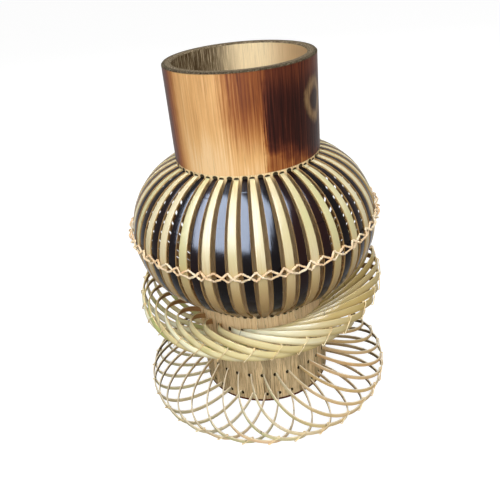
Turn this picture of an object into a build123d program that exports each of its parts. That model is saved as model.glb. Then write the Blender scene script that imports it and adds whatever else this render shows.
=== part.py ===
"""Bamboo vase: a culm with a bowed-strip belly, a looped collar and a looped open skirt, tied with twine.

Units are millimetres and degrees. Z is up, the axis of the culm is the Z axis, and the vase stands on Z = 0.
"""

import os
from dataclasses import dataclass
from math import acos, atan, atan2, copysign, cos, degrees, hypot, radians, sin, sqrt

from build123d import *

# Culm: one bamboo tube, polished at the neck and shaved below it, on a thin disc that closes its foot
vase_height = 275.0
culm_radius = 55.0
culm_wall = 7.0
shave_depth = 0.4
shave_top_height = 205.5
rim_chamfer = 0.8
base_disc_thickness = 2.0

# Holes that hold the ends of the strips in the culm's wall
hole_depth = 5.0
hole_side_clearance = 0.15
hole_end_clearance = 0.3
hole_mouth_overrun = 1.5

# Strips in one ring, and how many of them share a node
strips_per_ring = 32
strips_per_node = 4

# The handmade collar and belly lashing stand a little askew: the side on which they rise
lean_azimuth = 62.0

# Belly: natural and dark strips, bowed in upright planes through the axis
belly_radius = 96.0
belly_top_height = 202.0
belly_equator_height = 147.0
belly_bottom_height = 88.0
belly_lower_bend_radius = 52.0
belly_strip_thickness = 1.3
belly_bar_overrun = 1.0
natural_strip_width = 6.1
dark_strip_width = 6.5
natural_strip_end_width = 3.7
dark_strip_end_width = 3.9
first_natural_strip_angle = 1.3
dark_strip_shift_angle = 0.55

# Lashing of the belly: two twines that cross on every strip, over a hoop inside the strips
lashing_twine_diameter = 1.4
twine_clearance = 0.16
belly_lashing_height = 154.7
belly_lashing_lean = 4.5
belly_lashing_reach = 2.3
belly_lashing_edge_room = 0.4
belly_lashing_crossing_room = 0.5
belly_twine_bend_radius = 0.8
hoop_thickness = 1.6
hoop_height = 4.0
hoop_clearance = 0.1
twine_end_gap = 0.8

# Collar: wide strips on edge that leave the culm, run round the rim and come back lower down
collar_rim_radius = 100.0
collar_strip_width = 5.5
collar_strip_thickness = 1.2
collar_upper_hole_height = 73.5
collar_lower_hole_height = 60.0
collar_rim_height = 94.0
collar_out_sweep = 50.0
collar_back_sweep = 40.0
collar_first_angle = -5.5
collar_lean = 8.0

# Skirt: narrow strips on edge in the same kind of loops, open enough to see through
skirt_rim_radius = 104.5
skirt_strip_width = 3.4
skirt_strip_thickness = 1.2
skirt_upper_hole_height = 28.0
skirt_lower_hole_height = 7.5
skirt_rim_height = 5.9
skirt_out_sweep = 32.0
skirt_back_sweep = 24.25
skirt_first_angle = -4.0
skirt_lean = 0.0

# Both looped rings
layer_gap = 0.5
leg_step = 5.0
rim_step = 2.0
rim_run_angle = 7.0
leg_height_power = 2.0
collar_out_power = 2.0
collar_back_power = 1.9
skirt_out_power = 2.2
skirt_back_power = 2.6
tangent_nudge = 0.01
crossing_search_rounds = 40

# Ties that hold each crossing of two strips at a rim
tie_diameter = 0.8
tie_slant_angle = 2.5
tie_margin_angle = 0.5
tie_bend_radius = 0.7

# Values worked out from the sizes above
strip_pitch = 360 / strips_per_ring
culm_bore_radius = culm_radius - culm_wall
shaved_radius = culm_radius - shave_depth
hole_mouth_radius = shaved_radius + hole_mouth_overrun


@dataclass
class LoopRing:
    """One ring of looped strips: where they leave the culm, where their rim is and how they come back."""

    rim_radius: float
    rim_height: float
    width: float
    thickness: float
    upper_hole_height: float
    lower_hole_height: float
    out_sweep: float
    back_sweep: float
    out_power: float
    back_power: float
    first_angle: float
    lean: float

    @property
    def fall_per_degree(self):
        """Slope of a strip along the rim, by which two strips clear each other where they cross."""
        return (self.width + layer_gap) / strip_pitch

    def leg(self, angle):
        """Sweep and power of the leg on which an angle from the rim's outermost point lies."""
        if angle < 0:
            return self.out_sweep, self.out_power
        return self.back_sweep, self.back_power

    def radius(self, angle):
        sweep_angle, power = self.leg(angle)
        reach = self.rim_radius - shaved_radius
        return self.rim_radius - reach * (abs(angle) / sweep_angle) ** power

    def angle_at(self, radius, outgoing):
        """Angle from the rim's outermost point at which one leg has the given radius."""
        sweep_angle, power = self.leg(-1 if outgoing else 1)
        share = (self.rim_radius - radius) / (self.rim_radius - shaved_radius)
        angle = sweep_angle * share ** (1 / power)
        return -angle if outgoing else angle

    def height(self, angle):
        """Height of the strip's middle: an even fall along the rim, and from there a bend to each hole."""
        outgoing = angle < 0
        sweep_angle = self.out_sweep if outgoing else self.back_sweep
        hole_height = self.upper_hole_height if outgoing else self.lower_hole_height
        end_height = self.rim_height - self.fall_per_degree * copysign(sweep_angle, angle)
        along = max(0.0, (abs(angle) - rim_run_angle) / (sweep_angle - rim_run_angle))
        bend = (hole_height - end_height) * along**leg_height_power
        return self.rim_height - self.fall_per_degree * angle + bend

    def place(self, radius, azimuth, height):
        """Point of the ring, raised or lowered by the ring's lean."""
        share = max(0.0, (radius - hole_mouth_radius) / (self.rim_radius - hole_mouth_radius))
        return polar(radius, azimuth, height + self.lean * share * cos(radians(azimuth - lean_azimuth)))

    def section(self, angle, outermost, extra=0.0):
        """Upright cross-section of the strip at an angle from the rim's outermost point."""
        before = polar(self.radius(angle - tangent_nudge), outermost + angle - tangent_nudge, 0)
        after = polar(self.radius(angle + tangent_nudge), outermost + angle + tangent_nudge, 0)
        along = (after - before).normalized()
        side = along.cross(Vector(0, 0, 1))
        middle = self.place(self.radius(angle), outermost + angle, self.height(angle))
        face = Plane(origin=middle, x_dir=side, z_dir=along)
        return face * Rectangle(self.thickness + 2 * extra, self.width + 2 * extra)

    def strip(self, outermost):
        """The whole strip, with both ends in their holes."""
        end_radius = shaved_radius - hole_depth
        angles = [self.angle_at(end_radius, True)]
        angles += spread(self.angle_at(hole_mouth_radius, True), -strip_pitch, leg_step)
        angles += spread(-strip_pitch, strip_pitch, rim_step)[1:]
        angles += spread(strip_pitch, self.angle_at(hole_mouth_radius, False), leg_step)[1:]
        angles += [self.angle_at(end_radius, False)]
        return loft([self.section(angle, outermost) for angle in angles], ruled=True)

    def holes(self):
        """The two cuts that hold one strip's ends in the culm's wall."""
        inner = shaved_radius - hole_depth - hole_end_clearance
        cuts = []
        for outgoing in (True, False):
            ends = sorted((self.angle_at(inner, outgoing), self.angle_at(hole_mouth_radius, outgoing)))
            cuts.append(loft([self.section(angle, 0, hole_side_clearance) for angle in ends], ruled=True))
        return cuts

    def crossing_angle(self):
        """Angle before the rim's outermost point at which a strip crosses the strip before it."""
        low = 0.0
        high = strip_pitch
        for _ in range(crossing_search_rounds):
            middle = (low + high) / 2
            if self.radius(-middle) > self.radius(strip_pitch - middle):
                low = middle
            else:
                high = middle
        return (low + high) / 2

    def outermost_angles(self):
        return [self.first_angle + self.out_sweep + i * strip_pitch for i in range(strips_per_ring)]

    def tie(self, outermost):
        """Twine once round the crossing of a strip with the one before it; its ends are inside the rim."""
        room = self.thickness / 2 + twine_clearance + tie_diameter / 2
        lift = self.width / 2 + twine_clearance + tie_diameter / 2
        crossing = -self.crossing_angle()
        margins = (-tie_margin_angle, 0, tie_margin_angle)
        upper = crossing + tie_slant_angle
        lower = crossing - tie_slant_angle
        top = max(self.height(upper + margin) for margin in margins) + lift
        bottom = min(self.height(lower + strip_pitch + margin) for margin in margins) - lift
        corners = []
        for angle, height in ((upper, top), (lower, bottom)):
            radii = [self.radius(angle + turn + margin) for turn in (0, strip_pitch) for margin in margins]
            azimuth = outermost + angle
            corners.append(self.place(max(radii) + room, azimuth, height))
            corners.append(self.place(min(radii) - room, azimuth, height))
        outer_top, inner_top, outer_bottom, inner_bottom = corners
        middle = (inner_top + inner_bottom) / 2
        half_gap = (inner_top - inner_bottom).normalized() * (twine_end_gap / 2)
        points = (middle - half_gap, inner_bottom, outer_bottom, outer_top, inner_top, middle + half_gap)
        return twine_along(points, tie_diameter, tie_bend_radius)


def polar(radius, angle, height):
    return Vector(radius * cos(radians(angle)), radius * sin(radians(angle)), height)


def spread(first, last, step):
    """Evenly spaced values from first to last, about a step apart."""
    count = max(2, round((last - first) / step))
    return [first + (last - first) * i / count for i in range(count + 1)]


def collar_ring():
    return LoopRing(
        rim_radius=collar_rim_radius,
        rim_height=collar_rim_height,
        width=collar_strip_width,
        thickness=collar_strip_thickness,
        upper_hole_height=collar_upper_hole_height,
        lower_hole_height=collar_lower_hole_height,
        out_sweep=collar_out_sweep,
        back_sweep=collar_back_sweep,
        out_power=collar_out_power,
        back_power=collar_back_power,
        first_angle=collar_first_angle,
        lean=collar_lean,
    )


def skirt_ring():
    return LoopRing(
        rim_radius=skirt_rim_radius,
        rim_height=skirt_rim_height,
        width=skirt_strip_width,
        thickness=skirt_strip_thickness,
        upper_hole_height=skirt_upper_hole_height,
        lower_hole_height=skirt_lower_hole_height,
        out_sweep=skirt_out_sweep,
        back_sweep=skirt_back_sweep,
        out_power=skirt_out_power,
        back_power=skirt_back_power,
        first_angle=skirt_first_angle,
        lean=skirt_lean,
    )


class BellyBow:
    """The bow of one belly strip in the XZ plane: an arc above the equator, an arc and a tail below it."""

    def __init__(self):
        rise = belly_top_height - belly_equator_height
        span = belly_radius - shaved_radius
        self.upper_centre = (belly_radius**2 - shaved_radius**2 - rise**2) / (2 * span)
        self.upper_bend_radius = belly_radius - self.upper_centre
        self.upper_end_angle = degrees(atan2(rise, shaved_radius - self.upper_centre))
        self.lower_centre = belly_radius - belly_lower_bend_radius
        across = shaved_radius - self.lower_centre
        fall = belly_bottom_height - belly_equator_height
        straight_angle = acos(belly_lower_bend_radius / hypot(across, fall))
        self.lower_end_angle = degrees(atan2(fall, across) + straight_angle)

    def radius_at(self, height):
        """Radius of the middle of a strip at a height on one of the two arcs."""
        above = height - belly_equator_height
        if above > 0:
            return self.upper_centre + sqrt(self.upper_bend_radius**2 - above**2)
        return self.lower_centre + sqrt(belly_lower_bend_radius**2 - above**2)

    def upper_end(self, depth):
        """Point on the straight tail in the upper hole, a radial depth inside the culm's face."""
        slope = radians(self.upper_end_angle)
        return (shaved_radius - depth, belly_top_height + depth * cos(slope) / sin(slope))

    def lower_end(self, depth):
        """Point on the straight tail in the lower hole, a radial depth inside the culm's face."""
        slope = radians(self.lower_end_angle)
        return (shaved_radius - depth, belly_bottom_height + depth * cos(slope) / sin(slope))

    def path(self):
        upper_arc = CenterArc(
            (self.upper_centre, belly_equator_height),
            self.upper_bend_radius,
            self.upper_end_angle,
            -self.upper_end_angle,
        )
        lower_arc = CenterArc(
            (self.lower_centre, belly_equator_height),
            belly_lower_bend_radius,
            0,
            self.lower_end_angle,
        )
        upper_tail = Line(self.upper_end(hole_depth), upper_arc @ 0)
        lower_tail = Line(lower_arc @ 1, self.lower_end(hole_depth))
        return Wire([Plane.XZ * edge for edge in (upper_tail, upper_arc, lower_arc, lower_tail)])

    def bar(self, path, width, thickness):
        section = Plane(origin=path @ 0, x_dir=(0, 1, 0), z_dir=path % 0) * Rectangle(width, thickness)
        return sweep(section, path)

    def strip(self, width, end_width):
        """A strip that narrows from the equator towards both ends."""
        inner = shaved_radius - hole_depth - hole_mouth_overrun
        outer = belly_radius + belly_strip_thickness
        slope = (width - end_width) / (belly_radius - shaved_radius)
        inner_half = (end_width + slope * (inner - shaved_radius)) / 2
        outer_half = (width + slope * (outer - belly_radius)) / 2
        outline = Polyline(
            (inner, -inner_half), (outer, -outer_half), (outer, outer_half), (inner, inner_half), close=True
        )
        taper = extrude(make_face(outline), vase_height)
        return self.bar(self.path(), width + belly_bar_overrun, belly_strip_thickness) & taper

    def holes(self, end_width):
        """The two cuts that hold one strip's ends in the culm's wall."""
        cuts = []
        for end in (self.upper_end, self.lower_end):
            inside = end(hole_depth + hole_end_clearance)
            outside = end(-hole_mouth_overrun)
            path = Wire([Plane.XZ * Line(inside, outside)])
            width = end_width + 2 * hole_side_clearance
            cuts.append(self.bar(path, width, belly_strip_thickness + 2 * hole_side_clearance))
        return cuts


def belly_natural_angles():
    return [first_natural_strip_angle + i * strip_pitch for i in range(strips_per_ring)]


def belly_dark_angles():
    return [angle + strip_pitch / 2 + dark_strip_shift_angle for angle in belly_natural_angles()]


def make_culm():
    neck_start = shave_top_height
    profile = Polyline(
        (culm_bore_radius, base_disc_thickness),
        (shaved_radius, base_disc_thickness),
        (shaved_radius, neck_start),
        (culm_radius, neck_start + shave_depth),
        (culm_radius, vase_height - rim_chamfer),
        (culm_radius - rim_chamfer, vase_height),
        (culm_bore_radius + rim_chamfer, vase_height),
        (culm_bore_radius, vase_height - rim_chamfer),
        close=True,
    )
    tube = revolve(make_face(Plane.XZ * profile), Axis.Z)
    bow = BellyBow()
    cuts = []
    for cut in bow.holes(natural_strip_end_width):
        cuts += [Rot(Z=angle) * cut for angle in belly_natural_angles()]
    for cut in bow.holes(dark_strip_end_width):
        cuts += [Rot(Z=angle) * cut for angle in belly_dark_angles()]
    for ring in (collar_ring(), skirt_ring()):
        for cut in ring.holes():
            cuts += [Rot(Z=angle) * cut for angle in ring.outermost_angles()]
    return tube - cuts


def make_base_disc():
    return Pos(0, 0, base_disc_thickness / 2) * Cylinder(shaved_radius, base_disc_thickness)


def lashing_height(azimuth):
    return belly_lashing_height + belly_lashing_lean * cos(radians(azimuth - lean_azimuth))


def make_hoop():
    """Hoop inside the belly, behind the lashing: it leans with it and touches the strips all round."""
    bow = BellyBow()
    room = belly_strip_thickness / 2 + hoop_clearance
    high_side = bow.radius_at(belly_lashing_height + belly_lashing_lean + hoop_height / 2) - room
    low_side = bow.radius_at(belly_lashing_height - belly_lashing_lean + hoop_height / 2) - room
    outer = (high_side + low_side) / 2
    hoop = Cylinder(outer, hoop_height) - Cylinder(outer - hoop_thickness, hoop_height)
    slope = degrees(atan(belly_lashing_lean / belly_radius))
    leaning = Pos((high_side - low_side) / 2, 0, belly_lashing_height) * Rot(Y=-slope) * hoop
    return Rot(Z=lean_azimuth) * leaning


def twine_along(points, diameter, bend_radius):
    path = FilletPolyline(*points, radius=bend_radius)
    start = Plane(origin=path @ 0, z_dir=path % 0)
    return sweep(start * Circle(diameter / 2), path)


def belly_strips_in_turn():
    """Angle and half width, as an angle, of every belly strip round the axis, from a dark one on."""
    natural_half = degrees(natural_strip_width / 2 / belly_radius)
    dark_half = degrees(dark_strip_width / 2 / belly_radius)
    strips = []
    for natural, dark in zip(belly_natural_angles(), belly_dark_angles()):
        strips += [(dark, dark_half), (natural + strip_pitch, natural_half)]
    return strips


def make_belly_twine(outer):
    """One of the two crossing twines of the belly; the outer one bows over the other on every strip."""
    bow = BellyBow()
    strips = belly_strips_in_turn()
    first, first_half = strips[0]
    last, last_half = strips[-1]
    room = belly_strip_thickness / 2 + twine_clearance + lashing_twine_diameter / 2
    over = lashing_twine_diameter + belly_lashing_crossing_room if outer else 0
    edge_room = degrees(belly_lashing_edge_room / belly_radius)
    around = [(last - 360, last_half)] + strips + [(first + 360, first_half)]
    side = 1 if outer else -1
    points = []

    def add_point(azimuth, rise, stand_off=0.0):
        height = lashing_height(azimuth) + rise
        points.append(polar(bow.radius_at(height) + room + stand_off, azimuth, height))

    for before, strip, after in zip(around, around[1:], around[2:]):
        centre, half = strip
        gap_before = (before[0] + before[1] + centre - half) / 2
        gap_after = (centre + half + after[0] - after[1]) / 2
        edge = half + edge_room
        add_point(gap_before, -side * belly_lashing_reach)
        add_point(centre - edge, -side * belly_lashing_reach * edge / (centre - gap_before))
        add_point(centre, 0, over)
        add_point(centre + edge, side * belly_lashing_reach * edge / (gap_after - centre))
        side = -side
    closing = degrees(twine_end_gap / belly_radius)
    add_point(gap_after - closing, -side * belly_lashing_reach)
    return twine_along(points, lashing_twine_diameter, belly_twine_bend_radius)


def save(name, pieces):
    solids = [solid for piece in pieces for solid in piece.solids()]
    export_step(solids[0] if len(solids) == 1 else Compound(solids), f"parts/{name}.step")
    volume = sum(solid.volume for solid in solids)
    print(f"{name}: {len(solids)} solids, {volume:.1f} cubic mm")


def save_groups(name, strips):
    """Puts a few neighbouring strips in each node."""
    for start in range(0, len(strips), strips_per_node):
        save(f"{name}_{start // strips_per_node + 1}", strips[start : start + strips_per_node])


def main():
    os.makedirs("parts", exist_ok=True)
    bow = BellyBow()
    save("culm", [make_culm()])
    save("base_disc", [make_base_disc()])
    natural = bow.strip(natural_strip_width, natural_strip_end_width)
    dark = bow.strip(dark_strip_width, dark_strip_end_width)
    save_groups("belly_natural_strips", [Rot(Z=angle) * natural for angle in belly_natural_angles()])
    save_groups("belly_dark_strips", [Rot(Z=angle) * dark for angle in belly_dark_angles()])
    save("belly_hoop", [make_hoop()])
    save("belly_twine_outer", [make_belly_twine(True)])
    save("belly_twine_inner", [make_belly_twine(False)])
    for name, ring in (("collar", collar_ring()), ("skirt", skirt_ring())):
        save_groups(f"{name}_strips", [ring.strip(angle) for angle in ring.outermost_angles()])
        save(f"{name}_rim_twine", [ring.tie(angle) for angle in ring.outermost_angles()])


main()
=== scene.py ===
"""Looks of the bamboo vase: strips, twine, bamboo materials, studio and camera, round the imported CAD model.

Sizes are millimetres and degrees until a mesh is made, and metres from there on. Z is up.
"""

from dataclasses import dataclass
from math import acos, atan2, copysign, cos, degrees, hypot, pi, radians, sin, sqrt
from random import Random

import bpy
from mathutils import Matrix, Vector


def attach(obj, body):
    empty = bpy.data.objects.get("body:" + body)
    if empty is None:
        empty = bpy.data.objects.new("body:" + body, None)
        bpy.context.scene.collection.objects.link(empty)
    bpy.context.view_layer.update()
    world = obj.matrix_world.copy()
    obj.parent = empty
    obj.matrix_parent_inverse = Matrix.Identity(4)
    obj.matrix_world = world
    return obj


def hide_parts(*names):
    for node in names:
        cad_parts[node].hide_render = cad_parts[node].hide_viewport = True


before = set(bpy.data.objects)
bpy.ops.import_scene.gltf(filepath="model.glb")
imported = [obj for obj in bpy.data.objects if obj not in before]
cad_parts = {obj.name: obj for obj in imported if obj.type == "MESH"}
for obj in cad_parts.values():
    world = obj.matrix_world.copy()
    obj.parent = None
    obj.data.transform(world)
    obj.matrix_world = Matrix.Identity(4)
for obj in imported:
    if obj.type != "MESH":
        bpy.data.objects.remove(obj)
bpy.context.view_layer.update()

MM = 0.001
UP = Vector((0, 0, 1))

# Culm and the holes that hold the strips
vase_height = 275.0
culm_radius = 55.0
culm_wall = 7.0
shaved_radius = 54.6
shave_top_height = 205.5
rim_chamfer = 0.8
hole_depth = 5.0
hole_mouth_overrun = 1.5
strips_per_ring = 32
strips_per_node = 4
strip_pitch = 360 / strips_per_ring
lean_azimuth = 62.0

# Belly
belly_radius = 96.0
belly_top_height = 202.0
belly_equator_height = 147.0
belly_bottom_height = 88.0
belly_lower_bend_radius = 52.0
belly_strip_thickness = 1.3
natural_strip_width = 6.7
dark_strip_width = 6.9
natural_strip_end_width = 3.7
dark_strip_end_width = 3.9
first_natural_strip_angle = 1.3
dark_strip_shift_angle = 0.55
dark_strip_drift = -0.65
lower_taper_power = 0.5
belly_arc_steps = 26

# Lashing of the belly and ties of the rims
lashing_radius = 0.9
lashing_height = 154.7
lashing_lean = 4.5
lashing_reach = 3.3
lashing_edge_room = 0.4
lashing_crossing_room = 0.5
lashing_rounding = 1.1
tie_radius = 0.5
tie_slant_angle = 2.5
tie_margin_angle = 0.25
tie_clearance = 0.04
tie_rounding = 1.0
twine_clearance = 0.16
twine_end_gap = 0.8
corner_steps = 4
ply_lay_length = 3.4
ply_sides = 6
ply_offset_share = 0.42
ply_radius_share = 0.58

# Both looped rings
layer_gap = 0.5
rim_run_angle = 7.0
leg_height_power = 2.0
loop_step_angle = 1.25
tangent_nudge = 0.01
crossing_search_rounds = 40

# Strips: rounding of the edges, crown of the skin, and how far one strip may differ from the next
edge_rounding = 0.22
skin_crown = 0.12
whim_seed = 11
belly_turn_whim = 0.12
belly_bulge_whims = (-0.35, 0.25)
belly_lean_whim = 0.35
belly_twist_whim = 4.0
belly_width_whims = (0.94, 1.03)
loop_rim_whims = (-0.35, 0.05)
loop_lift_whim = 0.12
loop_tilt_whim = 3.0
loop_width_whims = (0.93, 1.0)

# Looks of the strips: where the foot, the painted shade on the lower border and by the rim, and the line of a
# bamboo node begin and are full
foot_start_run = 48.0
foot_full_run = 106.0
painted_border_start_offset = 0.2
painted_border_full_offset = -2.6
painted_rim_shade_start_radius = 78.0
painted_rim_shade_full_radius = 100.0
side_colour_share = 0.8
node_line_half_width = 0.9
node_line_core = 0.25
node_first_run = -60.0
node_run_span = 260.0

# Depth of the relief of each kind of surface, and of the dark outer lip on the mouth's cut face
strip_relief = 0.12
twine_relief = 0.12
culm_relief = 0.5
plain_relief = 0.2
lip_start_depth = 3.4
lip_full_depth = 1.8

# Eye-shaped flame mark on the neck, its angle counted from the front to the right
eye_angle = 62.4
eye_half_angle = 9.4
eye_height = 246.2
eye_half_height = 11.6

# Kinds of face on a strip, and the index of refraction of a matt surface and of the polished neck
LAYERS = {"skin": 0.0, "edge": 0.5, "pith": 1.0}
LAYER_TOLERANCE = 0.1
MATTE_IOR = 1.03
POLISHED_IOR = 1.11

# Studio: sizes in metres, strengths of the white floor and room, and colours of the lamps
floor_half_width = 40.0
floor_glow = 0.88
world_fill = 0.3
lamp_distance = 1.3
lamp_white = (1.0, 0.99, 0.97)
window_blue = (0.66, 0.78, 1.0)


@dataclass
class Loop:
    """One ring of looped strips, as in the CAD model, and the tilt that its strips have in the looks."""

    rim_radius: float
    rim_height: float
    width: float
    thickness: float
    upper_hole_height: float
    lower_hole_height: float
    out_sweep: float
    back_sweep: float
    out_power: float
    back_power: float
    first_angle: float
    lean: float
    rim_tilt: float
    leg_tilt: float

    @property
    def fall_per_degree(self):
        return (self.width + layer_gap) / strip_pitch

    def leg(self, angle):
        if angle < 0:
            return self.out_sweep, self.out_power
        return self.back_sweep, self.back_power

    def radius(self, angle):
        sweep, power = self.leg(angle)
        return self.rim_radius - (self.rim_radius - shaved_radius) * (abs(angle) / sweep) ** power

    def angle_at(self, radius, outgoing):
        sweep, power = self.leg(-1 if outgoing else 1)
        share = (self.rim_radius - radius) / (self.rim_radius - shaved_radius)
        angle = sweep * share ** (1 / power)
        return -angle if outgoing else angle

    def height(self, angle):
        outgoing = angle < 0
        sweep = self.out_sweep if outgoing else self.back_sweep
        hole_height = self.upper_hole_height if outgoing else self.lower_hole_height
        end_height = self.rim_height - self.fall_per_degree * copysign(sweep, angle)
        along = max(0.0, (abs(angle) - rim_run_angle) / (sweep - rim_run_angle))
        bend = (hole_height - end_height) * along**leg_height_power
        return self.rim_height - self.fall_per_degree * angle + bend

    def place(self, radius, azimuth, height):
        mouth = shaved_radius + hole_mouth_overrun
        share = max(0.0, (radius - mouth) / (self.rim_radius - mouth))
        return polar(radius, azimuth, height + self.lean * share * cos(radians(azimuth - lean_azimuth)))

    def tilt(self, angle):
        """How far the skin looks up: most on the way out, where a strip rests on the one below."""
        share = max(0.0, (self.radius(angle) - shaved_radius) / (self.rim_radius - shaved_radius))
        on_leg = 4 * self.leg_tilt * share * (1 - share) if angle < 0 else 0.0
        return self.rim_tilt * share + on_leg

    def crossing_angle(self):
        low = 0.0
        high = strip_pitch
        for _ in range(crossing_search_rounds):
            middle = (low + high) / 2
            if self.radius(-middle) > self.radius(strip_pitch - middle):
                low = middle
            else:
                high = middle
        return (low + high) / 2

    def outermost_angles(self):
        return [self.first_angle + self.out_sweep + i * strip_pitch for i in range(strips_per_ring)]


collar = Loop(
    rim_radius=100.0,
    rim_height=94.0,
    width=5.5,
    thickness=1.2,
    upper_hole_height=73.5,
    lower_hole_height=60.0,
    out_sweep=50.0,
    back_sweep=40.0,
    out_power=2.0,
    back_power=1.9,
    first_angle=-5.5,
    lean=8.0,
    rim_tilt=12.0,
    leg_tilt=20.0,
)
skirt = Loop(
    rim_radius=104.5,
    rim_height=5.9,
    width=3.4,
    thickness=1.2,
    upper_hole_height=28.0,
    lower_hole_height=7.5,
    out_sweep=32.0,
    back_sweep=24.25,
    out_power=2.2,
    back_power=2.6,
    first_angle=-4.0,
    lean=0.0,
    rim_tilt=0.0,
    leg_tilt=6.0,
)


# Strips


@dataclass
class Station:
    """A place along a strip: its centre, the way out of its skin, the way across it, and its width."""

    centre: Vector
    outward: Vector
    across: Vector
    width: float


def polar(radius, angle, height):
    return Vector((radius * cos(radians(angle)), radius * sin(radians(angle)), height))


def spread(first, last, step):
    count = max(2, round(abs(last - first) / step))
    return [first + (last - first) * i / count for i in range(count + 1)]


def belly_rows():
    """Radius, height and slope of the skin along the bow of a belly strip, from its top to its bottom."""
    rise = belly_top_height - belly_equator_height
    span = belly_radius - shaved_radius
    upper_centre = (belly_radius**2 - shaved_radius**2 - rise**2) / (2 * span)
    upper_bend = belly_radius - upper_centre
    upper_end = atan2(rise, shaved_radius - upper_centre)
    lower_centre = belly_radius - belly_lower_bend_radius
    across = shaved_radius - lower_centre
    fall = belly_bottom_height - belly_equator_height
    lower_end = atan2(fall, across) + acos(belly_lower_bend_radius / hypot(across, fall))
    top = belly_top_height + hole_depth * cos(upper_end) / sin(upper_end)
    rows = [(shaved_radius - hole_depth, top, upper_end)]

    def add_arc(centre, bend, slopes):
        for slope in slopes:
            rows.append((centre + bend * cos(slope), belly_equator_height + bend * sin(slope), slope))

    shares = [i / belly_arc_steps for i in range(belly_arc_steps + 1)]
    add_arc(upper_centre, upper_bend, [upper_end * (1 - share) for share in shares])
    add_arc(lower_centre, belly_lower_bend_radius, [lower_end * share for share in shares[1:]])
    bottom = belly_bottom_height + hole_depth * cos(lower_end) / sin(lower_end)
    rows.append((shaved_radius - hole_depth, bottom, lower_end))
    return rows


def belly_stations(angle, width, end_width, drift, whims):
    """One belly strip; its place, lean, twist and width differ a little from its neighbours'."""
    turn = angle + whims.uniform(-belly_turn_whim, belly_turn_whim)
    bulge = whims.uniform(*belly_bulge_whims)
    lean = drift + whims.uniform(-belly_lean_whim, belly_lean_whim)
    twist = whims.uniform(-belly_twist_whim, belly_twist_whim)
    width *= whims.uniform(*belly_width_whims)
    stations = []
    for radius, height, slope in belly_rows():
        share = max(0.0, (radius - shaved_radius) / (belly_radius - shaved_radius))
        outward = Vector((cos(slope), 0, sin(slope)))
        across = Vector((0, 1, 0))
        roll = Matrix.Rotation(radians(twist * share), 3, Vector((-sin(slope), 0, cos(slope))))
        turned = Matrix.Rotation(radians(turn), 3, UP)
        centre = Vector((radius + bulge * share, lean * share, height))
        taper = share if slope > 0 else share**lower_taper_power
        here = end_width + (width - end_width) * taper
        stations.append(Station(turned @ centre, turned @ roll @ outward, turned @ roll @ across, here))
    return stations


def loop_stations(loop, outermost, whims):
    """One looped strip; its rim, tilt and width differ a little from its neighbours'."""
    inner = shaved_radius - hole_depth
    mouth = shaved_radius + hole_mouth_overrun
    rim_shift = whims.uniform(*loop_rim_whims)
    lift = whims.uniform(-loop_lift_whim, loop_lift_whim)
    own_tilt = whims.uniform(-loop_tilt_whim, loop_tilt_whim)
    width = loop.width * whims.uniform(*loop_width_whims)
    angles = [loop.angle_at(inner, True)]
    angles += spread(loop.angle_at(mouth, True), loop.angle_at(mouth, False), loop_step_angle)
    angles += [loop.angle_at(inner, False)]
    stations = []
    for angle in angles:
        azimuth = outermost + angle
        before = polar(loop.radius(angle - tangent_nudge), azimuth - tangent_nudge, 0)
        after = polar(loop.radius(angle + tangent_nudge), azimuth + tangent_nudge, 0)
        along = (after - before).normalized()
        share = max(0.0, (loop.radius(angle) - shaved_radius) / (loop.rim_radius - shaved_radius))
        radius = loop.radius(angle) + rim_shift * share
        centre = loop.place(radius, azimuth, loop.height(angle) + lift * share)
        roll = Matrix.Rotation(-radians(loop.tilt(angle) + own_tilt * share), 3, along)
        stations.append(Station(centre, roll @ along.cross(UP), roll @ UP, width))
    return stations


def strip_section(width, thickness):
    """Corner points across a strip as (across, out), with the layer of the face that follows each point."""
    half = width / 2
    skin = thickness / 2
    shoulder = skin - skin_crown
    flat = half - edge_rounding
    return [
        (-flat, shoulder, "skin"),
        (-flat / 2, skin - skin_crown / 4, "skin"),
        (0, skin, "skin"),
        (flat / 2, skin - skin_crown / 4, "skin"),
        (flat, shoulder, "edge"),
        (half, shoulder - edge_rounding, "edge"),
        (half, -skin + edge_rounding, "edge"),
        (flat, -skin, "pith"),
        (0, -skin, "pith"),
        (-flat, -skin, "edge"),
        (-half, -skin + edge_rounding, "edge"),
        (-half, shoulder - edge_rounding, "edge"),
    ]


class MeshLists:
    """Vertices, faces and attributes of a mesh that is being put together."""

    def __init__(self):
        self.vertices = []
        self.faces = []
        self.points = {"run": [], "offset": []}
        self.areas = {"layer": [], "tone": []}

    def add_point(self, place, run, offset):
        self.vertices.append(place * MM)
        self.points["run"].append(run)
        self.points["offset"].append(offset)
        return len(self.vertices) - 1

    def add_face(self, corners, layer, tone):
        self.faces.append(corners)
        self.areas["layer"].append(layer)
        self.areas["tone"].append(tone)

    def make_object(self, name, material):
        mesh = bpy.data.meshes.new(name)
        mesh.from_pydata(self.vertices, [], self.faces)
        for key, values in self.points.items():
            mesh.attributes.new(key, "FLOAT", "POINT").data.foreach_set("value", values)
        for key, values in self.areas.items():
            mesh.attributes.new(key, "FLOAT", "FACE").data.foreach_set("value", values)
        mesh.shade_smooth()
        mesh.materials.append(material)
        made = bpy.data.objects.new(name, mesh)
        bpy.context.scene.collection.objects.link(made)
        made.modifiers.new("flat_faces_stay_flat", "WEIGHTED_NORMAL")
        return made


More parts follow.
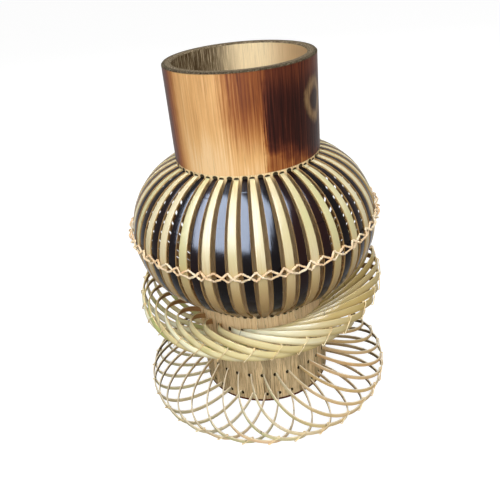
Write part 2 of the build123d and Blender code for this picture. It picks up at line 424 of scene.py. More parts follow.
def add_strip(lists, stations, thickness, tone):
    """Adds one closed strip that runs through its stations."""
    rings = []
    run = 0.0
    for i, station in enumerate(stations):
        if i > 0:
            run += (station.centre - stations[i - 1].centre).length
        ring = []
        for across, out, _ in strip_section(station.width, thickness):
            place = station.centre + station.across * across + station.outward * out
            ring.append(lists.add_point(place, run, across))
        rings.append(ring)
    section = strip_section(stations[0].width, thickness)
    count = len(section)
    for first, second in zip(rings, rings[1:]):
        for i, (_, _, layer) in enumerate(section):
            after = (i + 1) % count
            lists.add_face((first[i], second[i], second[after], first[after]), LAYERS[layer], tone)
    lists.add_face(tuple(rings[0]), LAYERS["edge"], tone)
    lists.add_face(tuple(reversed(rings[-1])), LAYERS["edge"], tone)


def dress(piece, slot, *nodes):
    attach(piece, "root")
    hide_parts(*nodes)


def make_strips(node_name, angles, thickness, stations_at, material, slot):
    """One object for each CAD node of a ring, with a few neighbouring strips in each."""
    for start in range(0, strips_per_ring, strips_per_node):
        lists = MeshLists()
        for number in range(start, start + strips_per_node):
            whims = Random(f"{node_name} {number} {whim_seed}")
            tone = whims.random()
            add_strip(lists, stations_at(angles[number], whims), thickness, tone)
        node = f"{node_name}_{start // strips_per_node + 1}"
        dress(lists.make_object(f"{node}_look", material), slot, node)


# Twine


def rounded_line(points, rounding, steps):
    """The points joined by straight runs, with each corner rounded off over a given length."""
    line = [points[0]]
    for before, corner, after in zip(points, points[1:], points[2:]):
        enter = corner + (before - corner) * min(0.5, rounding / (before - corner).length)
        leave = corner + (after - corner) * min(0.5, rounding / (after - corner).length)
        for i in range(steps + 1):
            t = i / steps
            line.append(enter * (1 - t) ** 2 + corner * 2 * t * (1 - t) + leave * t**2)
    return line + [points[-1]]


def add_twine(lists, line, radius, tone):
    """Two plies twisted round each other along a line."""
    side = (line[1] - line[0]).orthogonal().normalized()
    rings = ([], [])
    run = 0.0
    for i, place in enumerate(line):
        along = (line[min(i + 1, len(line) - 1)] - line[max(i - 1, 0)]).normalized()
        side = (side - along * side.dot(along)).normalized()
        other = along.cross(side)
        if i > 0:
            run += (place - line[i - 1]).length
        for ply, ring_list in enumerate(rings):
            turn = 2 * pi * run / ply_lay_length + pi * ply
            core = place + (side * cos(turn) + other * sin(turn)) * radius * ply_offset_share
            ring = []
            for k in range(ply_sides):
                spin = 2 * pi * k / ply_sides
                spot = core + (side * cos(spin) + other * sin(spin)) * radius * ply_radius_share
                ring.append(lists.add_point(spot, run, spin))
            ring_list.append(ring)
    for ring_list in rings:
        for first, second in zip(ring_list, ring_list[1:]):
            for k in range(ply_sides):
                after = (k + 1) % ply_sides
                lists.add_face((first[k], first[after], second[after], second[k]), LAYERS["skin"], tone)
        lists.add_face(tuple(reversed(ring_list[0])), LAYERS["edge"], tone)
        lists.add_face(tuple(ring_list[-1]), LAYERS["edge"], tone)


def belly_radius_at(height):
    """Radius of the middle of a belly strip at a height above the equator."""
    rise = belly_top_height - belly_equator_height
    centre = (belly_radius**2 - shaved_radius**2 - rise**2) / (2 * (belly_radius - shaved_radius))
    return centre + sqrt((belly_radius - centre) ** 2 - (height - belly_equator_height) ** 2)


def natural_angles():
    return [first_natural_strip_angle + i * strip_pitch for i in range(strips_per_ring)]


def dark_angles():
    return [angle + strip_pitch / 2 + dark_strip_shift_angle for angle in natural_angles()]


def lashing_line(outer):
    """One of the two twines of the belly: they cross on every strip and part in every gap."""
    natural_half = degrees(natural_strip_width / 2 / belly_radius)
    dark_half = degrees(dark_strip_width / 2 / belly_radius)
    strips = []
    for natural, dark in zip(natural_angles(), dark_angles()):
        strips += [(dark, dark_half), (natural + strip_pitch, natural_half)]
    first, last = strips[0], strips[-1]
    around = [(last[0] - 360, last[1])] + strips + [(first[0] + 360, first[1])]
    room = belly_strip_thickness / 2 + twine_clearance + lashing_radius
    over = 2 * lashing_radius + lashing_crossing_room if outer else 0
    edge_room = degrees(lashing_edge_room / belly_radius)
    side = 1 if outer else -1
    points = []

    def add_point(azimuth, rise, stand_off=0.0):
        height = lashing_height + lashing_lean * cos(radians(azimuth - lean_azimuth)) + rise
        points.append(polar(belly_radius_at(height) + room + stand_off, azimuth, height))

    for before, (centre, half), after in zip(around, around[1:], around[2:]):
        gap_before = (before[0] + before[1] + centre - half) / 2
        gap_after = (centre + half + after[0] - after[1]) / 2
        edge = half + edge_room
        add_point(gap_before, -side * lashing_reach)
        add_point(centre - edge, -side * lashing_reach * edge / (centre - gap_before))
        add_point(centre, 0, over)
        add_point(centre + edge, side * lashing_reach * edge / (gap_after - centre))
        side = -side
    add_point(gap_after - degrees(twine_end_gap / belly_radius), -side * lashing_reach)
    return rounded_line(points, lashing_rounding, corner_steps)


def tie_line(loop, outermost):
    """Twine once round the crossing of a strip with the one before it, slanted, its ends inside the rim."""
    room = loop.thickness / 2 + tie_clearance + tie_radius
    lift = loop.width / 2 + tie_clearance + tie_radius
    jut = loop.width / 2 * sin(radians(loop.rim_tilt))
    crossing = -loop.crossing_angle()
    margins = (-tie_margin_angle, 0, tie_margin_angle)
    upper = crossing + tie_slant_angle
    lower = crossing - tie_slant_angle
    top = max(loop.height(upper + margin) for margin in margins) + lift
    bottom = min(loop.height(lower + strip_pitch + margin) for margin in margins) - lift

    def place(angle, height, outward):
        """A corner of the twine, on the upper strip above the crossing and on the lower one below it."""
        on_upper = height > (top + bottom) / 2 + layer_gap
        radii = [loop.radius(angle + margin + (0 if on_upper else strip_pitch)) for margin in margins]
        radius = max(radii) + room if outward else min(radii) - room
        return loop.place(radius + (-jut if on_upper else jut), outermost + angle, height)

    inner_top = place(upper, top, False)
    inner_bottom = place(lower, bottom, False)
    middle = (inner_top + inner_bottom) / 2
    half_gap = (inner_top - inner_bottom).normalized() * (twine_end_gap / 2)
    points = [
        middle - half_gap,
        inner_bottom,
        place(lower, bottom, True),
        place(crossing, (top + bottom) / 2, True),
        place(upper, top, True),
        inner_top,
        middle + half_gap,
    ]
    return rounded_line(points, tie_rounding, corner_steps)


def make_twine(node, lines, radius, material):
    lists = MeshLists()
    whims = Random(f"{node} {whim_seed}")
    for line in lines:
        add_twine(lists, line, radius, whims.random())
    dress(lists.make_object(f"{node}_look", material), "twine", node)


# Materials


def srgb(red, green, blue):
    """A screen colour from 0 to 255 as the linear colour that a shader takes."""
    shares = [value / 255 for value in (red, green, blue)]
    return tuple(s / 12.92 if s <= 0.04045 else ((s + 0.055) / 1.055) ** 2.4 for s in shares) + (1.0,)


class Shader:
    """A material's node tree, with short ways to add what the materials here need."""

    def __init__(self, name):
        self.material = bpy.data.materials.new(name)
        self.material.use_nodes = True
        self.tree = self.material.node_tree
        self.surface = self.tree.nodes["Principled BSDF"]

    def node(self, kind, **settings):
        made = self.tree.nodes.new(kind)
        for key, value in settings.items():
            setattr(made, key, value)
        return made

    def feed(self, socket, value):
        if isinstance(value, bpy.types.NodeSocket):
            self.tree.links.new(value, socket)
        else:
            socket.default_value = value

    def set(self, **values):
        """Sets or links inputs of the surface, named as on the node with _ for a space."""
        for key, value in values.items():
            self.feed(self.surface.inputs[key.replace("_", " ")], value)

    def math(self, operation, *values):
        made = self.node("ShaderNodeMath", operation=operation)
        for socket, value in zip(made.inputs, values):
            self.feed(socket, value)
        return made.outputs[0]

    def times(self, first, second):
        return self.math("MULTIPLY", first, second)

    def distance(self, x, y):
        """Length of the way from the middle to a point in a plane."""
        return self.math("SQRT", self.math("MULTIPLY_ADD", x, x, self.times(y, y)))

    def step(self, value, low, high):
        """0 below low and 1 above high, smooth between; the other way round where high is the lower."""
        made = self.node("ShaderNodeMapRange", interpolation_type="SMOOTHSTEP")
        ends = (low, high, 0.0, 1.0) if low < high else (high, low, 1.0, 0.0)
        for socket, end in zip(made.inputs[1:5], ends):
            socket.default_value = end
        self.feed(made.inputs[0], value)
        return made.outputs[0]

    def band(self, value, start, full, fade, end):
        """1 from full to fade, and 0 before start and past end, smooth between."""
        return self.times(self.step(value, start, full), self.step(value, end, fade))

    def vector(self, x, y, z):
        made = self.node("ShaderNodeCombineXYZ")
        for socket, value in zip(made.inputs, (x, y, z)):
            self.feed(socket, value)
        return made.outputs[0]

    def scaled(self, place, *scales):
        return self.vector(*[self.times(value, scale) for value, scale in zip(place, scales)])

    def noise(self, place, detail=3.0, roughness=0.55):
        made = self.node("ShaderNodeTexNoise")
        self.feed(made.inputs["Vector"], place)
        made.inputs["Scale"].default_value = 1.0
        made.inputs["Detail"].default_value = detail
        made.inputs["Roughness"].default_value = roughness
        return made.outputs[0]

    def blend(self, share, first, second):
        made = self.node("ShaderNodeMix", data_type="RGBA")
        self.feed(made.inputs[0], share)
        self.feed(made.inputs[6], first)
        self.feed(made.inputs[7], second)
        return made.outputs[2]

    def shade(self, share, colour, darkest):
        """The colour, multiplied down towards a darkest share as share goes from 0 to 1."""
        made = self.node("ShaderNodeMix", data_type="RGBA", blend_type="MULTIPLY")
        self.feed(made.inputs[0], share)
        self.feed(made.inputs[6], colour)
        made.inputs[7].default_value = (darkest, darkest, darkest, 1.0)
        return made.outputs[2]

    def ramp(self, value, *stops):
        made = self.node("ShaderNodeValToRGB")
        elements = made.color_ramp.elements
        while len(elements) < len(stops):
            elements.new(0.5)
        for element, (place, colour) in zip(elements, stops):
            element.position = place
            element.color = colour
        self.feed(made.inputs[0], value)
        return made.outputs[0]

    def attribute(self, name):
        return self.node("ShaderNodeAttribute", attribute_name=name).outputs["Fac"]

    def bump(self, height, depth, strength):
        made = self.node("ShaderNodeBump")
        made.inputs["Strength"].default_value = strength
        made.inputs["Distance"].default_value = depth * MM
        self.feed(made.inputs["Height"], height)
        self.feed(self.surface.inputs["Normal"], made.outputs[0])

    def object_place(self):
        """X, Y and Z of a point in millimetres, as sockets."""
        coordinates = self.node("ShaderNodeTexCoord").outputs["Object"]
        split = self.node("ShaderNodeSeparateXYZ")
        self.feed(split.inputs[0], coordinates)
        return [self.math("DIVIDE", socket, MM) for socket in split.outputs]


@dataclass
class StripLook:
    """Colours and gloss of one kind of strip; each side colour pairs a direction round the axis with a
    colour.
    """

    skin_light: tuple
    skin_deep: tuple
    skin_tint: tuple
    edge: tuple
    pith: tuple
    foot: tuple
    green: tuple
    green_share: float
    patches_per_mm: float
    skin_roughness: float
    tint_share: float
    ior: float
    foot_share: float = 0.0
    painted_rim_shade: float = 0.0
    painted_border_shade: float = 0.0
    side_colours: tuple = ()


def strip_skin(shader, look, run, offset, tone, fibre, patch, x, y):
    """Skin of a strip: two shades of fibre, tinted and green patches, coloured sides, a dark foot, and
    painted shade on the lower border.
    """
    skin = shader.blend(shader.step(fibre, 0.32, 0.7), look.skin_light, look.skin_deep)
    tinted = shader.step(shader.math("MULTIPLY_ADD", tone, 0.6, patch), 0.62, 1.0)
    skin = shader.blend(shader.times(tinted, look.tint_share), skin, look.skin_tint)
    other_chance = shader.math("FRACT", shader.times(tone, 3.7))
    greened = shader.step(shader.math("MULTIPLY_ADD", patch, 0.9, other_chance), 0.85, 1.25)
    skin = shader.blend(shader.times(greened, look.green_share), skin, look.green)
    # Each listed side of the ring turns the skin towards its colour; on the collar this is painted shade.
    for azimuth, side_colour in look.side_colours:
        on_side = shader.times(shader.step(toward(shader, x, y, azimuth), 0.2, 0.9), side_colour_share)
        skin = shader.blend(on_side, skin, side_colour)
    at_foot = shader.times(shader.step(run, foot_start_run, foot_full_run), look.foot_share)
    skin = shader.blend(at_foot, skin, look.foot)
    # Painted shade: the lower border of the skin darkens to the foot colour, as if shaded by the strip above.
    border = shader.times(shader.step(offset, painted_border_start_offset, painted_border_full_offset), look.painted_border_shade)
    return shader.blend(border, skin, look.foot)


def strip_pith(shader, look, fibre, x, y):
    """Back of a strip, with painted shade that darkens it towards the rim of a ring."""
    pith = shader.shade(shader.step(fibre, 0.3, 0.7), look.pith, 0.6)
    # Painted shade among the stacked strips near a rim.
    at_rim = shader.step(shader.distance(x, y), painted_rim_shade_start_radius, painted_rim_shade_full_radius)
    return shader.shade(shader.times(at_rim, look.painted_rim_shade), pith, 0.3)


def node_line(shader, run, tone):
    """1 on the line of a bamboo node, which falls past the ends of some strips."""
    chance = shader.math("FRACT", shader.times(tone, 7.3))
    place = shader.math("MULTIPLY_ADD", chance, node_run_span, node_first_run)
    distance = shader.math("ABSOLUTE", shader.math("SUBTRACT", run, place))
    return shader.step(distance, node_line_half_width, node_line_core)


def strip_material(name, look):
    """Bamboo strip: fibres along it, a skin, raw edges, a pithy back, and a node line on some strips."""
    shader = Shader(name)
    run, offset, layer, tone = [shader.attribute(key) for key in ("run", "offset", "layer", "tone")]
    x, y, _ = shader.object_place()
    own = shader.times(tone, 300.0)
    across = shader.math("MULTIPLY_ADD", offset, 1.6, own)
    fibre_place = shader.vector(shader.times(run, 0.035), across, shader.times(layer, 7.0))
    fibre = shader.noise(fibre_place, detail=4.0, roughness=0.65)
    patch_place = shader.vector(shader.times(run, look.patches_per_mm), own, layer)
    patch = shader.noise(patch_place, detail=1.0)
    is_edge = shader.math("COMPARE", layer, LAYERS["edge"], LAYER_TOLERANCE)
    is_pith = shader.math("COMPARE", layer, LAYERS["pith"], LAYER_TOLERANCE)
    skin = strip_skin(shader, look, run, offset, tone, fibre, patch, x, y)
    edge = shader.shade(shader.step(fibre, 0.35, 0.75), look.edge, 0.72)
    pith = strip_pith(shader, look, fibre, x, y)
    colour = shader.blend(is_pith, shader.blend(is_edge, skin, edge), pith)
    line = node_line(shader, run, tone)
    shader.set(Base_Color=shader.shade(shader.times(line, 0.6), colour, 0.35))
    raw = shader.math("MAXIMUM", is_edge, is_pith)
    gloss = shader.math("MULTIPLY_ADD", fibre, 0.18, look.skin_roughness - 0.09)
    shader.set(Roughness=shader.math("MULTIPLY_ADD", raw, 0.3, gloss))
    shader.set(IOR=shader.math("MULTIPLY_ADD", raw, MATTE_IOR - look.ior, look.ior))
    shader.bump(shader.math("MULTIPLY_ADD", line, 1.2, fibre), strip_relief, 0.6)
    return shader.material


def natural_material():
    return strip_material(
        "natural_bamboo_strip",
        StripLook(
            skin_light=srgb(238, 229, 196),
            skin_deep=srgb(224, 209, 162),
            skin_tint=srgb(206, 192, 138),
            edge=srgb(196, 166, 114),
            pith=srgb(206, 164, 118),
            foot=srgb(176, 144, 94),
            foot_share=0.95,
            green=srgb(206, 206, 150),
            green_share=0.5,
            patches_per_mm=0.03,
            skin_roughness=0.3,
            tint_share=0.6,
            ior=1.113,
        ),
    )


def dark_material():
    return strip_material(
        "dark_bamboo_strip",
        StripLook(
            skin_light=srgb(20, 13, 13),
            skin_deep=srgb(10, 7, 8),
            skin_tint=srgb(42, 20, 18),
            edge=srgb(170, 138, 92),
            pith=srgb(194, 150, 106),
            foot=srgb(14, 9, 9),
            foot_share=0.5,
            green=srgb(16, 14, 18),
            green_share=0.5,
            patches_per_mm=0.03,
            skin_roughness=0.17,
            tint_share=0.7,
            ior=1.155,
        ),
    )


def collar_material():
    return strip_material(
        "collar_bamboo_strip",
        StripLook(
            skin_light=srgb(253, 253, 226),
            skin_deep=srgb(248, 242, 202),
            skin_tint=srgb(226, 212, 158),
            edge=srgb(236, 216, 162),
            pith=srgb(190, 150, 104),
            # With no foot share, the foot colour here is only the colour of the painted shade on the lower
            # border.
            foot=srgb(168, 142, 84),
            green=srgb(182, 190, 112),
            green_share=0.9,
            # Painted shade: the right side of the collar turns darker and browner.
            side_colours=((-15, srgb(180, 153, 88)),),
            patches_per_mm=0.045,
            # Painted shade among the strips by the rim.
            painted_rim_shade=0.3,
            # Painted shade on the lower border of each strip.
            painted_border_shade=0.62,
            skin_roughness=0.21,
            tint_share=0.95,
            ior=1.115,
        ),
    )


def skirt_material():
    return strip_material(
        "skirt_bamboo_strip",
        StripLook(
            skin_light=srgb(254, 248, 226),
            skin_deep=srgb(242, 226, 188),
            skin_tint=srgb(240, 186, 134),
            edge=srgb(246, 232, 202),
            pith=srgb(214, 184, 138),
            foot=srgb(222, 208, 170),
            foot_share=0.3,
            green=srgb(204, 202, 150),
            green_share=0.9,
            # The right side turns darker peach and the back left darker olive.
            side_colours=((-20, srgb(208, 168, 112)), (190, srgb(174, 162, 118))),
            patches_per_mm=0.03,
            # Painted shade among the stacked strips by the rim.
            painted_rim_shade=1.0,
            skin_roughness=0.32,
            tint_share=0.7,
            ior=1.12,
        ),
    )


def twine_material(name, light, deep):
    """Cord with darker strands and patches of two tones."""
    shader = Shader(name)
    run = shader.attribute("run")
    offset = shader.attribute("offset")
    strand_place = shader.vector(shader.times(run, 0.9), shader.math("MULTIPLY_ADD", run, 2.2, offset), 0.0)
    strand = shader.noise(strand_place, detail=3.0)
    own = shader.times(shader.attribute("tone"), 50.0)
    patch = shader.noise(shader.vector(shader.times(run, 0.06), own, 8.0), detail=2.0)
    colour = shader.blend(shader.step(patch, 0.35, 0.68), light, deep)
    shader.set(Base_Color=shader.shade(shader.step(strand, 0.45, 0.8), colour, 0.68))
    shader.set(Roughness=0.7, IOR=MATTE_IOR)
    shader.bump(strand, twine_relief, 0.7)
    return shader.material


def toward(shader, x, y, azimuth):
    """Cosine of the angle round the axis from a direction."""
    along = shader.times(x, cos(radians(azimuth)))
    dot = shader.math("MULTIPLY_ADD", y, sin(radians(azimuth)), along)
    return shader.math("DIVIDE", dot, shader.distance(x, y))


def hole_shadow_row(shader, angle, z, first_angle, height, half_width, half_height):
    """Painted shadow of hole mouths: dark spots in a row round the culm, one for each strip."""
    turns = shader.math("DIVIDE", shader.math("SUBTRACT", angle, first_angle), strip_pitch)
    off = shader.math("SUBTRACT", turns, shader.math("ROUND", turns))
    across = shader.times(off, radians(strip_pitch) * shaved_radius / half_width)
    up = shader.math("DIVIDE", shader.math("SUBTRACT", z, height), half_height)
    squared = shader.math("MULTIPLY_ADD", across, across, shader.times(up, up))
    return shader.step(squared, 1.3, 0.7)


def scorch(shader, angle, z, streak, blot):
    """How far the flame has browned the neck, about 0 to 1; angles count from the front to the right."""
    ragged = shader.math("MULTIPLY_ADD", streak, 9.0, shader.math("SUBTRACT", angle, 4.5))
    ragged = shader.math("MULTIPLY_ADD", blot, 4.0, shader.math("SUBTRACT", ragged, 2.0))
    rise = shader.math("DIVIDE", shader.math("SUBTRACT", z, shave_top_height), vase_height - shave_top_height)
    burn_foot = shader.math("MULTIPLY_ADD", ragged, -0.41, 222.0)
    above_foot = shader.math("SUBTRACT", shader.math("MULTIPLY_ADD", blot, 26.0, z), burn_foot)
    burnt_side = shader.band(ragged, 8.0, 17.5, 95.0, 125.0)
    black = shader.times(burnt_side, shader.step(above_foot, -8.0, 34.0))
    redder_top = shader.math("MULTIPLY_ADD", shader.step(z, 250.0, 272.0), -0.24, 1.0)
    black = shader.times(black, redder_top)
    rust = shader.times(burnt_side, shader.step(above_foot, -26.0, 10.0))
    brown = shader.band(ragged, -28.0, -2.0, 16.0, 34.0)
    browner_top = shader.math("MULTIPLY_ADD", shader.step(rise, 0.0, 0.75), 0.44, 0.06)
    brown = shader.times(brown, browner_top)
    left = shader.band(ragged, -132.0, -104.0, -78.0, -42.0)
    back = shader.band(ragged, -178.0, -150.0, -136.0, -116.0)
    back = shader.times(back, shader.step(above_foot, -56.0, -6.0))
    amount = shader.times(shader.step(rise, 0.0, 0.6), 0.12)
    for zone, depth in ((black, 0.88), (rust, 0.44), (brown, 1.0), (left, 0.8), (back, 0.8)):
        amount = shader.math("MAXIMUM", amount, shader.times(zone, depth))
    wobble = shader.math("MULTIPLY_ADD", streak, 1.4, -0.7)
    strength = shader.math("MULTIPLY_ADD", amount, 0.6, 0.28)
    return shader.math("MULTIPLY_ADD", wobble, strength, amount)


def eye_mark(shader, angle, z, blot):
    """Distance from the middle of the pale ring that the flame left, about 1 on the ring."""
    across = shader.math("DIVIDE", shader.math("SUBTRACT", angle, eye_angle), eye_half_angle)
    up = shader.math("DIVIDE", shader.math("SUBTRACT", z, eye_height), eye_half_height)
    return shader.math("MULTIPLY_ADD", blot, 0.9, shader.math("SUBTRACT", shader.distance(across, up), 0.45))


def neck_colour(shader, angle, z, streak, fibre, blot):
    """Polished neck, from pale bamboo to burnt, with the eye-shaped mark and a duller far right side."""
    amount = scorch(shader, angle, z, streak, blot)
    colour = shader.ramp(
        amount,
        (0.0, srgb(244, 206, 154)),
        (0.1, srgb(230, 180, 118)),
        (0.28, srgb(190, 130, 74)),
        (0.45, srgb(146, 84, 44)),
        (0.62, srgb(102, 52, 33)),
        (0.8, srgb(62, 29, 21)),
        (1.0, srgb(36, 17, 13)),
    )
    colour = shader.shade(shader.step(fibre, 0.52, 0.78), colour, 0.66)
    ring = eye_mark(shader, angle, z, blot)
    on_ring = shader.times(shader.band(ring, 0.35, 0.95, 1.0, 1.6), shader.step(fibre, 0.75, 0.3))
    far_right = shader.times(shader.band(angle, 70.0, 84.0, 90.0, 128.0), 0.7)
    colour = shader.blend(far_right, colour, srgb(120, 96, 72))
    colour = shader.blend(on_ring, colour, srgb(176, 142, 98))
    return shader.blend(shader.step(ring, 0.8, 0.3), colour, srgb(50, 32, 22))


def lower_colour(shader, angle, z, fibre, blot):
    """Raw shaved wall: planed upright facets, fibres and some dark cracks, with painted shade behind the
    belly.
    """
    turns = shader.math("MULTIPLY_ADD", blot, 1.2, shader.math("DIVIDE", angle, 6.5))
    facet = shader.math("FLOOR", turns)
    tone = shader.noise(shader.vector(shader.times(facet, 1.37), 5.0, 2.0), detail=0.0)
    from_border = shader.math("ABSOLUTE", shader.math("SUBTRACT", shader.math("FRACT", turns), 0.5))
    colour = shader.ramp(
        fibre,
        (0.28, srgb(255, 238, 196)),
        (0.5, srgb(252, 222, 170)),
        (0.72, srgb(184, 142, 92)),
    )
    # Painted shade: the wall behind the belly is darker.
    colour = shader.shade(shader.band(z, 92.0, 104.0, 198.0, 204.0), colour, 0.7)
    low = shader.step(z, 66.0, 50.0)
    grain = shader.times(low, shader.step(fibre, 0.4, 0.68))
    colour = shader.shade(grain, colour, 0.6)
    facet_share = shader.math("MULTIPLY_ADD", low, 0.6, 0.3)
    facets = shader.times(shader.step(tone, 0.35, 0.65), facet_share)
    colour = shader.shade(facets, colour, 0.58)
    border = shader.times(shader.step(from_border, 0.42, 0.5), shader.step(tone, 0.5, 0.6))
    crack = shader.times(border, shader.step(fibre, 0.3, 0.55))
    return shader.shade(crack, colour, 0.25)


def inner_colour(shader, x, y, fibre):
    """Inside of the tube: pale, darkened by painted shade to a streaked grey at the left and to tan at the
    right.
    """
    # Painted shade on the inner wall: streaked grey at the left, tan at the right.
    shaded_left = shader.step(toward(shader, x, y, 150.0), 0.4, 0.88)
    shaded_left = shader.times(shaded_left, shader.step(fibre, 0.2, 0.55))
    shaded_right = shader.times(shader.step(toward(shader, x, y, 10.0), 0.5, 0.95), 0.7)
    pale = shader.shade(shader.step(fibre, 0.4, 0.75), srgb(253, 232, 190), 0.7)
    return shader.blend(shaded_left, shader.blend(shaded_right, pale, srgb(192, 152, 106)), srgb(74, 60, 42))


def painted_hole_shadows(shader, angle, z):
    """Painted shadow in the mouths of the holes in the rows that show, each a little past the strip that
    fills it.
    """
    first_natural = natural_angles()[0]
    first_dark = dark_angles()[0]
    skirt_end = skirt.first_angle + skirt.out_sweep + skirt.back_sweep
    hole_shadows = 0.0
    for first_angle, height, half_width, half_height in (
        (first_natural, belly_top_height + 1.3, 1.9, 1.0),
        (first_dark, belly_top_height + 1.6, 2.0, 1.6),
        (first_natural, belly_bottom_height - 1.2, 1.4, 0.6),
        (first_dark, belly_bottom_height - 1.3, 1.5, 0.8),
        (collar.first_angle - 2.0, collar.upper_hole_height, 1.3, 2.2),
        (skirt.first_angle - 1.6, skirt.upper_hole_height, 1.3, 1.8),
        (skirt_end + 1.6, skirt.lower_hole_height, 1.3, 1.7),
    ):
        row = hole_shadow_row(shader, angle, z, first_angle, height, half_width, half_height)
        hole_shadows = shader.math("MAXIMUM", hole_shadows, row)
    return hole_shadows


def rim_colour(shader, radius, grain):
    """Cut face of the mouth: speckled, with a darker outer lip."""
    colour = shader.ramp(
        grain,
        (0.34, srgb(58, 48, 36)),
        (0.5, srgb(112, 99, 79)),
        (0.66, srgb(194, 176, 144)),
    )
    lip = shader.step(radius, culm_radius - lip_start_depth, culm_radius - lip_full_depth)
    return shader.shade(lip, colour, 0.5)


def culm_material():
    """Bamboo tube: scorched polished neck, weathered cut rim, pale inside and raw shaved wall below."""
    shader = Shader("culm_bamboo")
    x, y, z = shader.object_place()
    radius = shader.distance(x, y)
    angle = shader.math("DEGREES", shader.math("ARCTAN2", y, x))
    from_front = shader.math("DEGREES", shader.math("ARCTAN2", x, shader.times(y, -1.0)))
    streak = shader.noise(shader.scaled((x, y, z), 0.85, 0.85, 0.02), detail=5.0, roughness=0.65)
    fibre = shader.noise(shader.scaled((x, y, z), 1.7, 1.7, 0.05), detail=5.0, roughness=0.7)
    grain = shader.noise(shader.vector(x, y, z), detail=4.0, roughness=0.7)
    blot = shader.noise(shader.scaled((x, y, z), 0.07, 0.07, 0.07), detail=3.0)
    bore_radius = culm_radius - culm_wall
    rim_height = vase_height - rim_chamfer
    is_neck = shader.step(z, shave_top_height - 0.3, shave_top_height + 0.3)
    is_inner = shader.step(radius, bore_radius + 0.8, bore_radius + 0.2)
    is_rim = shader.step(z, rim_height - 0.5, rim_height + 0.1)
    neck = neck_colour(shader, from_front, z, streak, fibre, blot)
    colour = shader.blend(is_neck, lower_colour(shader, angle, z, fibre, blot), neck)
    # Painted shadow in the hole mouths darkens the culm.
    colour = shader.shade(painted_hole_shadows(shader, angle, z), colour, 0.06)
    colour = shader.blend(is_inner, colour, inner_colour(shader, x, y, fibre))
    shader.set(Base_Color=shader.blend(is_rim, colour, rim_colour(shader, radius, grain)))
    cut_face = shader.math("MAXIMUM", is_inner, is_rim)
    polished = shader.times(is_neck, shader.math("SUBTRACT", 1.0, cut_face))
    rough = shader.math("MULTIPLY_ADD", polished, -0.42, 0.72)
    shader.set(Roughness=shader.math("MULTIPLY_ADD", streak, 0.15, rough))
    shader.set(IOR=shader.math("MULTIPLY_ADD", polished, POLISHED_IOR - MATTE_IOR, MATTE_IOR))
    relief = shader.times(fibre, shader.math("MULTIPLY_ADD", polished, -0.85, 1.0))
    shader.bump(relief, culm_relief, 0.7)
    return shader.material


def base_material():
    """Dark stained disc with faint grain."""
    shader = Shader("base_stain")
    grain = shader.noise(shader.scaled(shader.object_place(), 0.05, 1.0, 1.0), detail=4.0)
    shader.set(Base_Color=shader.ramp(grain, (0.3, srgb(112, 58, 42)), (0.7, srgb(70, 34, 26))))
    shader.set(Roughness=0.6, IOR=MATTE_IOR)
    shader.bump(grain, plain_relief, 0.5)
    return shader.material


def hoop_material():
    """Raw split bamboo, with fibres round the hoop."""
    shader = Shader("hoop_bamboo")
    place = shader.scaled(shader.object_place(), 0.04, 0.04, 1.0)
    fibre = shader.noise(place, detail=4.0, roughness=0.65)
    shader.set(Base_Color=shader.ramp(fibre, (0.3, srgb(176, 140, 90)), (0.7, srgb(120, 90, 54))))
    shader.set(Roughness=0.75, IOR=MATTE_IOR)
    shader.bump(fibre, plain_relief, 0.5)
    return shader.material


def give_material(node, material):
    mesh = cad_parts[node].data
    mesh.materials.clear()
    mesh.materials.append(material)


# Studio


def make_floor():
    """White floor, which shines where it is seen or mirrored and lights the vase as plain grey."""
    half = floor_half_width
    corners = [(-half, -half, 0), (half, -half, 0), (half, half, 0), (-half, half, 0)]
    mesh = bpy.data.meshes.new("floor")
    mesh.from_pydata(corners, [], [(0, 1, 2, 3)])
    floor = bpy.data.objects.new("floor", mesh)
    bpy.context.scene.collection.objects.link(floor)
    shader = Shader("floor_white")
    shader.set(Base_Color=srgb(150, 150, 150), Roughness=0.9, Specular_IOR_Level=0.0)
    rays = shader.node("ShaderNodeLightPath").outputs
    seen = shader.math("MAXIMUM", rays["Is Camera Ray"], rays["Is Glossy Ray"])
    seen = shader.math("MAXIMUM", seen, rays["Is Transmission Ray"])
    shader.set(Emission_Color=(1.0, 1.0, 1.0, 1.0), Emission_Strength=shader.times(seen, floor_glow))
    mesh.materials.append(shader.material)


def make_world():
    """A white room that lights the vase with only part of the white that is seen."""
    world = bpy.data.worlds.new("studio")
    world.use_nodes = True
    nodes = world.node_tree.nodes
    links = world.node_tree.links
    rays = nodes.new("ShaderNodeLightPath")
    seen = nodes.new("ShaderNodeMath")
    seen.operation = "SUBTRACT"
    seen.inputs[0].default_value = 1.0
    strength = nodes.new("ShaderNodeMapRange")
    strength.inputs["To Min"].default_value = world_fill
    strength.inputs["To Max"].default_value = 1.0
    links.new(rays.outputs["Is Diffuse Ray"], seen.inputs[1])
    links.new(seen.outputs[0], strength.inputs["Value"])
    links.new(strength.outputs[0], nodes["Background"].inputs["Strength"])
    nodes["Background"].inputs["Color"].default_value = (1.0, 1.0, 1.0, 1.0)
    bpy.context.scene.world = world


def make_softbox(name, azimuth, elevation, size, energy, colour, only_reflects=False):
    """A large lamp that faces the middle of the vase and is either mirrored in it or lights it.

    Azimuth 0 is the camera's side, and the azimuth grows to the right.
    """
    target = Vector((0, 0, vase_height * MM / 2))
    a = radians(azimuth)
    e = radians(elevation)
    away = Vector((sin(a) * cos(e), -cos(a) * cos(e), sin(e)))
    lamp = bpy.data.lights.new(name, "AREA")
    lamp.shape = "RECTANGLE"
    lamp.size, lamp.size_y = size
    lamp.energy = energy
    lamp.color = colour
    made = bpy.data.objects.new(name, lamp)
    made.location = target + away * lamp_distance
    made.rotation_euler = away.to_track_quat("Z", "Y").to_euler()
    made.visible_camera = False
    made.visible_diffuse = not only_reflects
    made.visible_glossy = only_reflects
    bpy.context.scene.collection.objects.link(made)


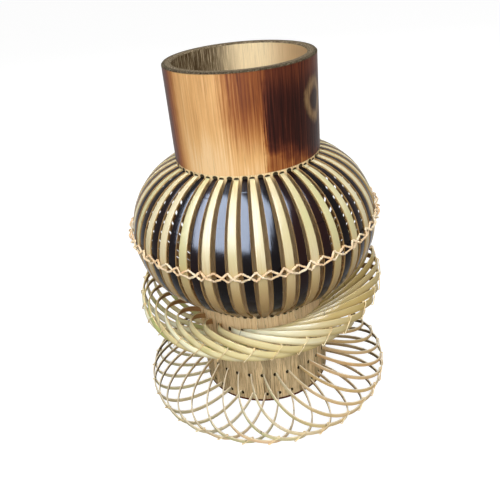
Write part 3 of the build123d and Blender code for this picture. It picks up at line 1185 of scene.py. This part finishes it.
def make_camera():
    """The photograph's camera, from a fit to the mouth, the hole rows and the rims."""
    place = Vector((0.0, -0.4249, 0.3529))
    pitch = radians(28.99)
    yaw = radians(-0.7675)
    roll = radians(-5.656)
    focal_length_pixels = 581.5
    image_pixels = 500
    forward = Vector((sin(yaw) * cos(pitch), cos(yaw) * cos(pitch), -sin(pitch)))
    level = forward.cross(UP).normalized()
    rise = level.cross(forward)
    right = level * cos(roll) + rise * sin(roll)
    above = rise * cos(roll) - level * sin(roll)
    lens = bpy.data.cameras.new("camera")
    lens.sensor_width = 36.0
    lens.lens = lens.sensor_width * focal_length_pixels / image_pixels
    lens.clip_start = 0.01
    camera = bpy.data.objects.new("camera", lens)
    camera.matrix_world = Matrix.Translation(place) @ Matrix((right, above, -forward)).transposed().to_4x4()
    bpy.context.scene.collection.objects.link(camera)
    bpy.context.scene.camera = camera


def make_studio():
    make_floor()
    make_world()
    make_softbox("key", azimuth=-4, elevation=40, size=(1.6, 0.8), energy=18.0, colour=lamp_white)
    make_softbox("back", azimuth=168, elevation=40, size=(1.6, 1.0), energy=5.0, colour=lamp_white)
    make_softbox(
        "window",
        azimuth=-31,
        elevation=50,
        size=(1.75, 2.0),
        energy=1200.0,
        colour=window_blue,
        only_reflects=True,
    )
    make_camera()
    bpy.context.scene.view_settings.view_transform = "Standard"


def make_vase():
    make_strips(
        "belly_natural_strips",
        natural_angles(),
        belly_strip_thickness,
        lambda angle, whims: belly_stations(angle, natural_strip_width, natural_strip_end_width, 0.0, whims),
        natural_material(),
        "natural_strip",
    )
    make_strips(
        "belly_dark_strips",
        dark_angles(),
        belly_strip_thickness,
        lambda angle, whims: belly_stations(
            angle, dark_strip_width, dark_strip_end_width, dark_strip_drift, whims
        ),
        dark_material(),
        "dark_strip",
    )
    lashing = twine_material("lashing_twine", srgb(254, 238, 206), srgb(244, 206, 160))
    make_twine("belly_twine_outer", [lashing_line(True)], lashing_radius, lashing)
    make_twine("belly_twine_inner", [lashing_line(False)], lashing_radius, lashing)
    tying = twine_material("tie_twine", srgb(252, 238, 198), srgb(236, 206, 154))
    for name, loop, material in (("collar", collar, collar_material()), ("skirt", skirt, skirt_material())):
        make_strips(
            f"{name}_strips",
            loop.outermost_angles(),
            loop.thickness,
            lambda angle, whims: loop_stations(loop, angle, whims),
            material,
            f"{name}_strip",
        )
        ties = [tie_line(loop, outermost) for outermost in loop.outermost_angles()]
        make_twine(f"{name}_rim_twine", ties, tie_radius, tying)
    give_material("culm", culm_material())
    give_material("base_disc", base_material())
    give_material("belly_hoop", hoop_material())


make_vase()
make_studio()
